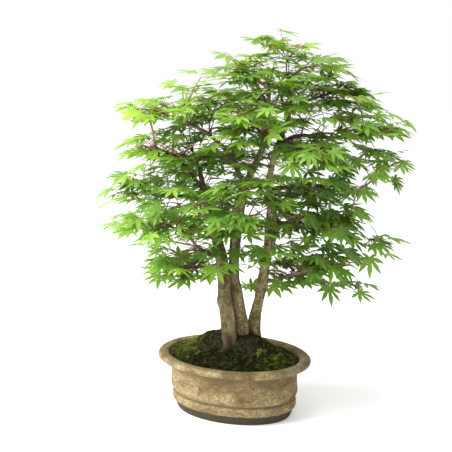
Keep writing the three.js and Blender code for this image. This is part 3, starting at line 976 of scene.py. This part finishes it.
def setLeaf(foot, forward, roll, span, ageAndShade, picks):  # a copy of one leaf model at its petiole's end
    model = picks.choice(leafModels)
    piece = model.copy()
    piece.data = model.data.copy()
    bpy.context.scene.collection.objects.link(piece)
    side = Vector((0, 0, 1)).cross(forward).normalized()
    up = forward.cross(side)
    up = up * math.cos(roll) + side * math.sin(roll)
    side = up.cross(forward)
    axes = Matrix((forward, side, up)).transposed()
    picks.choice((-1, 1))  # a spare draw: without it every leaf after this one would change
    size = span / leafSpan
    shape = Matrix.Diagonal(
        (size * picks.uniform(0.95, 1.08), size * picks.uniform(0.92, 1.04), size * picks.uniform(0.8, 1.3))
    )
    piece.data.transform((axes @ shape).to_4x4())
    piece.data.transform(Matrix.Translation(foot))
    return tinted(piece, "ageAndShade", ageAndShade)


def leafWay(x, y, z, away, fall, picks):  # which way a leaf points: out from its spray and out from the tree
    outX, outY = x - 20, y
    far = max(1, math.hypot(outX, outY))
    goX = 0.55 * away[0] + 0.6 * outX / far + picks.gauss(0, 0.38)
    goY = 0.55 * away[1] + 0.6 * outY / far + picks.gauss(0, 0.38)
    turn = math.atan2(goY, goX)
    outer = clipped((x - 90) / 130) + 0.5 * clipped((-90 - x) / 90)
    tilt = math.radians(fall + foliage["hang"] * clipped((620 - z) / 200) * outer)
    return turned.to_3x3() @ Vector(
        (math.cos(turn) * math.cos(tilt), math.sin(turn) * math.cos(tilt), -math.sin(tilt))
    )


def spray(name, middle, size, start, ageAndShade):
    picks = random.Random(name)
    count = round(foliage["leaves"] * (size[0] * size[1]) / (57 * 50))
    centre = inTree(*middle)
    foot = inTree(*start)
    hub = foot.lerp(centre, 0.6) - Vector((0, 0, 0.006))
    twigRuns.append(twigRun(foot, hub, foliage["twig"] * 1.5, foliage["twig"], 0.003, picks))
    forks = []
    for k in range(5):
        turn = 2 * math.pi * k / 5 + picks.uniform(-0.4, 0.4)
        away = [math.cos(turn) * size[0] * 0.45, math.sin(turn) * size[1] * 0.45]
        fork = inTree(middle[0] + away[0], middle[1] + away[1], middle[2] - 7 + picks.uniform(-3, 3))
        twigRuns.append(twigRun(hub, fork, foliage["twig"], foliage["twig"] * 0.6, 0.004, picks))
        forks.append(fork)
    forks.append(hub)
    leaves = []
    flat = 4 - 9 * clipped((middle[2] - 240) / 400)  # low sprays hang more than high ones
    for k in range(count):
        ring = math.sqrt((k + 0.5) / count)
        turn = 2.399963 * k + picks.uniform(-0.3, 0.3)
        x, y = math.cos(turn) * ring, math.sin(turn) * ring
        span = picks.uniform(*leafShape["width"]) * (1.0 if ring > 0.5 else 0.9)
        fall = flat + 6 * ring + picks.gauss(0, 10)
        ahead = leafWay(middle[0] + x * size[0], middle[1] + y * size[1], middle[2], (x, y), fall, picks)
        high = middle[2] - 9 * ring**2 + picks.uniform(-22, 15)
        spot = inTree(middle[0] + x * size[0] * 0.9, middle[1] + y * size[1] * 0.9, high)
        base = spot - ahead * span * 0.30
        # painted shade: leaves near the spray's middle are given an older, darker green
        leafAgeAndShade = clipped(ageAndShade + picks.gauss(0, 0.13) + 0.1 * (1 - ring))
        leaves.append(setLeaf(base, ahead, math.radians(picks.gauss(0, 13)), span, leafAgeAndShade, picks))
        fork = min(forks, key=lambda f: (f - base).length)
        thick = foliage["petiole"]
        petioleRuns.append(twigRun(fork, base, thick * 1.1, thick * 0.8, 0.003, picks))
    return joined(name + "_cover", leaves)


def leafMaterial():
    made, tree, place = startMaterial("maple_leaf")
    ageAndShade = node(tree, "Attribute", attribute_name="ageAndShade").outputs["Fac"]
    uv = node(tree, "SeparateXYZ", {"Vector": node(tree, "UVMap").outputs["UV"]}).outputs
    cross = sums(tree, "MULTIPLY", sums(tree, "ABSOLUTE", sums(tree, "SUBTRACT", uv["X"], 0.5)), 2.0)
    # the age value holds the leaf's age with painted light and shade mixed in; higher values give a darker
    # green
    color = ramp(tree, ageAndShade, foliage["greens"])
    cloud = grain(tree, place, 95, 4)
    color = mixed(tree, 0.5, color, ramp(tree, cloud, [(0.3, 0.70), (0.7, 1.15)]), "MULTIPLY")
    vein = spread(tree, cross, 0.0, 0.13, 1.0, 0.0)
    slant = sums(tree, "ADD", sums(tree, "MULTIPLY", uv["Y"], 9.0), sums(tree, "MULTIPLY", cross, -1.6))
    side = sums(tree, "SUBTRACT", sums(tree, "FRACT", slant), 0.5)
    sideVein = spread(tree, sums(tree, "ABSOLUTE", side), 0.0, 0.10, 1.0, 0.0)
    veins = sums(tree, "MAXIMUM", vein, sums(tree, "MULTIPLY", sideVein, 0.45))
    color = mixed(tree, sums(tree, "MULTIPLY", veins, 0.35), color, foliage["vein"])
    normal = bumped(tree, (veins, 0.0003, -0.5), (grain(tree, place, 900, 3), 0.00015, 0.5))
    solid = surface(tree, color, 0.42, normal, 0.35)
    endMaterial(tree, letsLight(tree, solid, mixed(tree, 0.5, color, foliage["glow"]), foliage["through"]))
    return made


mapleLeaf = leafMaterial()
for name, (middle, size, start, ageAndShade) in sprays.items():
    finished(smooth(spray(name, middle, size, start, ageAndShade)), mapleLeaf, "leaf", name)


def innerShoots():  # short leafy side shoots along the boughs, in the shade
    picks = random.Random(foliage["seed"])
    leaves = []
    lines = [
        *boughLines.values(), trunkLines["trunk_middle"][-7:], trunkLines["trunk_right"][-7:],
        trunkLines["trunk_left"][-4:],
    ]
    for line in lines:
        run = smoothLine(line, 8)
        for shoot in range(foliage["shade"]):
            along = 0.15 + 0.8 * (shoot + picks.random()) / foliage["shade"]
            x, y, z = run[round(along * (len(run) - 1))][:3]
            turn = picks.uniform(0, 2 * math.pi)
            rise = picks.uniform(-16, 34)
            reach = picks.uniform(16, 42)
            foot = inTree(x, y, z)
            tip = inTree(x + reach * math.cos(turn), y + reach * math.sin(turn), z + rise)
            twigRuns.append(twigRun(foot, tip, 0.0008, 0.0005, 0.003, picks))
            for _ in range(picks.choice((3, 4, 4, 5))):
                span = picks.uniform(*leafShape["shadeWidth"])
                way = turn + picks.uniform(-1.9, 1.9)
                ahead = leafWay(x, y, z, (math.cos(way), math.sin(way)), picks.uniform(-10, 24), picks)
                base = tip + ahead * picks.uniform(0.006, 0.018)
                base.z += picks.uniform(-0.004, 0.006)
                # age with painted shade: leaves on low shoots, deep in the crown, get darker green
                ageAndShade = clipped(0.85 - 0.55 * clipped((z - 230) / 380) + picks.gauss(0, 0.15))
                leaves.append(setLeaf(base, ahead, math.radians(picks.gauss(0, 20)), span, ageAndShade, picks))
                petioleRuns.append(twigRun(tip, base, 0.0004, 0.00035, 0.002, picks))
    return joined("inner_leaves", leaves)


finished(smooth(innerShoots()), mapleLeaf, "leaf")

# The crown's outline seen from its best side: height, left edge, right edge and half-depth, in millimetres.
crownOutline = [
    (215, -95, 215, 75), (240, -125, 235, 90), (263, -150, 238, 100), (305, -185, 240, 120),
    (347, -200, 222, 125), (388, -215, 225, 130), (430, -190, 258, 130), (470, -165, 280, 130),
    (512, -172, 272, 125), (553, -180, 255, 110), (590, -60, 225, 90), (615, -20, 200, 70),
    (645, 40, 140, 30),
]


def outlineAt(z):
    for low, high in zip(crownOutline, crownOutline[1:]):
        if z <= high[0]:
            t = (z - low[0]) / (high[0] - low[0])
            return [a + (b - a) * t for a, b in zip(low[1:], high[1:])]
    return crownOutline[-1][1:]


def crownShoots():  # thin shoots that fill the crown between the sprays
    picks = random.Random(foliage["seed"] + 7)
    anchors = [
        p for line in [*boughLines.values(), *trunkLines.values()] for p in smoothLine(line, 6) if p[2] > 225
    ]
    leaves = []
    z = foliage["crownFloor"]
    while z < 625:
        left, right, deep = outlineAt(z)
        x = left + 36
        while x < right - 30:
            px, pz = x + picks.uniform(-15, 15), z + picks.uniform(-15, 15)
            width = (px - (left + right) / 2) / ((right - left) / 2)
            reach = deep * math.sqrt(max(0.05, 1 - width * width))
            py = picks.uniform(-reach, reach) * 0.8
            x += foliage["fillStep"]
            if pz < 275 and -75 < px < 60 and py < 40:
                continue  # the trunks stay in sight
            if min(math.dist((px, py, pz), at) for at, _, _, _ in sprays.values()) < 24:
                continue
            anchor = min(anchors, key=lambda a: math.dist(a[:3], (px, py, pz - 10)) + max(0, a[2] - pz))
            foot, tip = inTree(*anchor[:3]), inTree(px, py, pz - 6)
            twigRuns.append(twigRun(foot, tip, 0.0013, 0.0007, 0.005, picks))
            height = clipped((pz - 230) / 400)
            edge = clipped(math.hypot(px - 40, py) / 200)
            for k in range(picks.choice((3, 4, 4, 5))):
                turn = 2.4 * k + picks.uniform(-0.5, 0.5)
                way = Vector((math.cos(turn), math.sin(turn), 0))
                fall = 5 - 9 * height + picks.gauss(0, 11 - 4 * height)
                ahead = leafWay(px, py, pz, way, fall, picks)
                base = tip + turned.to_3x3() @ way * picks.uniform(0.008, 0.022)
                base.z += picks.uniform(-0.006, 0.008)
                # age with painted light and shade: high and outer leaves get lighter green, low, inner and
                # right-hand ones (x over 120 mm) darker
                ageAndShade = clipped(0.72 - 0.5 * height - 0.2 * edge + 0.15 * (px > 120) + picks.gauss(0, 0.15))
                roll = math.radians(picks.gauss(0, 15 - 6 * height))
                span = picks.uniform(*leafShape["width"]) * 0.95
                leaves.append(setLeaf(base, ahead, roll, span, ageAndShade, picks))
                petioleRuns.append(twigRun(tip, base, 0.0004, 0.00035, 0.002, picks))
        z += foliage["fillRise"]
    return joined("crown_leaves", leaves)


finished(smooth(crownShoots()), mapleLeaf, "leaf")
for model in leafModels:
    bpy.data.objects.remove(model)

# Where fine twigs crowd: x, y, z, how many and how long, in millimetres.
twigClusters = [
    (66, 5, 338, 34, 30), (-50, 2, 396, 16, 24), (-120, 40, 384, 14, 20), (104, -14, 340, 12, 22),
    (19, 0, 402, 12, 24),
]


def bareTwigs():  # fine bare twigs, thickest at the knot on the right trunk
    picks = random.Random(foliage["seed"] + 1)
    runs = []

    # a twig from a point of the tree: ranges for its slope, length and bend, its two radii, and how far its
    # foot may slip up or down
    def grow(point, slopes, lengths, bends, radii, slip=None):
        x, y, z = point[:3]
        turn, rise = picks.uniform(0, 2 * math.pi), picks.uniform(*slopes)
        length = picks.uniform(*lengths)
        tip = inTree(x + length * math.cos(turn), y + length * math.sin(turn), z + length * rise)
        foot = inTree(x, y, z + (picks.uniform(-slip, slip) if slip else 0))
        runs.append(twigRun(foot, tip, *radii, picks.uniform(*bends), picks))

    for line in boughLines.values():
        run = smoothLine(line, 8)
        for _ in range(foliage["bareTwigs"]):
            grow(run[picks.randrange(4, len(run))], (-0.2, 0.9), (18, 62), (-0.004, 0.004), (0.0009, 0.0004))
    for line in trunkLines.values():
        run = [p for p in smoothLine(line, 8) if p[2] > 300]
        for _ in range(foliage["trunkTwigs"]):
            grow(picks.choice(run), (0.0, 1.3), (20, 70), (-0.004, 0.006), (0.0010, 0.0004))
    for x, y, z, count, length in twigClusters:
        lengths = (0.5 * length, 1.1 * length)
        for _ in range(count):
            grow((x, y, z), (-0.6, 0.9), lengths, (-0.004, 0.004), (0.0006, 0.00025), 8)
    return runs


def shootWood(name, runs, young):
    return finished(smooth(tinted(tubes(name, runs), "young", young)), youngBark, "twig")


shootWood("bare_twigs", bareTwigs(), 0.5)
shootWood("leaf_twigs", twigRuns, 0.6)
shootWood("petioles", petioleRuns, 0.95)


# Floor, light and camera.

studio = {
    "floor": (0.95, 0.95, 0.95),
    "surround": 1.0,
    "floorGlow": 0.16,
    "key": {"place": (-1500, -400, 900), "size": 1.2, "power": 60},
    "top": {"place": (-250, -350, 1900), "size": 1.0, "power": 20},
    "lit": Vector((0, 0, 0.35)),  # what the lights face
    "eye": (-13.4, -1507, 653),
    "aim": (-13.4, -1.9, 333),
    "lens": 71.7,
}
bpy.ops.mesh.primitive_plane_add(size=12, location=(0, 0, -0.0003))
floor = bpy.context.object
floor.name = "floor"
floorMaterial, tree, _ = startMaterial("pale_floor")
values = {
    "Base Color": (*studio["floor"], 1), "Roughness": 0.9, "Specular IOR Level": 0.1,
    "Emission Color": (1, 1, 1, 1), "Emission Strength": studio["floorGlow"],
}
endMaterial(tree, node(tree, "BsdfPrincipled", values).outputs["BSDF"])
floor.data.materials.append(floorMaterial)

world = bpy.data.worlds.new("studio")
bpy.context.scene.world = world
world.use_nodes = True
sky = world.node_tree.nodes["Background"].inputs
sky["Color"].default_value = (1, 1, 1, 1)
sky["Strength"].default_value = studio["surround"]


def softBox(name, target, place, size, power):
    at = inTree(*place)
    bpy.ops.object.light_add(type="AREA", location=at)
    lamp = bpy.context.object
    lamp.name = name
    lamp.data.shape = "DISK"
    lamp.data.size = size
    lamp.data.energy = power
    lamp.rotation_euler = (target - at).to_track_quat("-Z", "Y").to_euler()


softBox("key_light", studio["lit"], **studio["key"])
softBox("top_light", studio["lit"], **studio["top"])

eye, aim = inTree(*studio["eye"]), inTree(*studio["aim"])
bpy.ops.object.camera_add(location=eye)
camera = bpy.context.object
camera.data.lens = studio["lens"]
camera.data.sensor_width = 36
camera.rotation_euler = (aim - eye).to_track_quat("-Z", "Y").to_euler()
bpy.context.scene.camera = camera
bpy.context.scene.view_settings.view_transform = "Standard"
print("floor, lights and camera set")
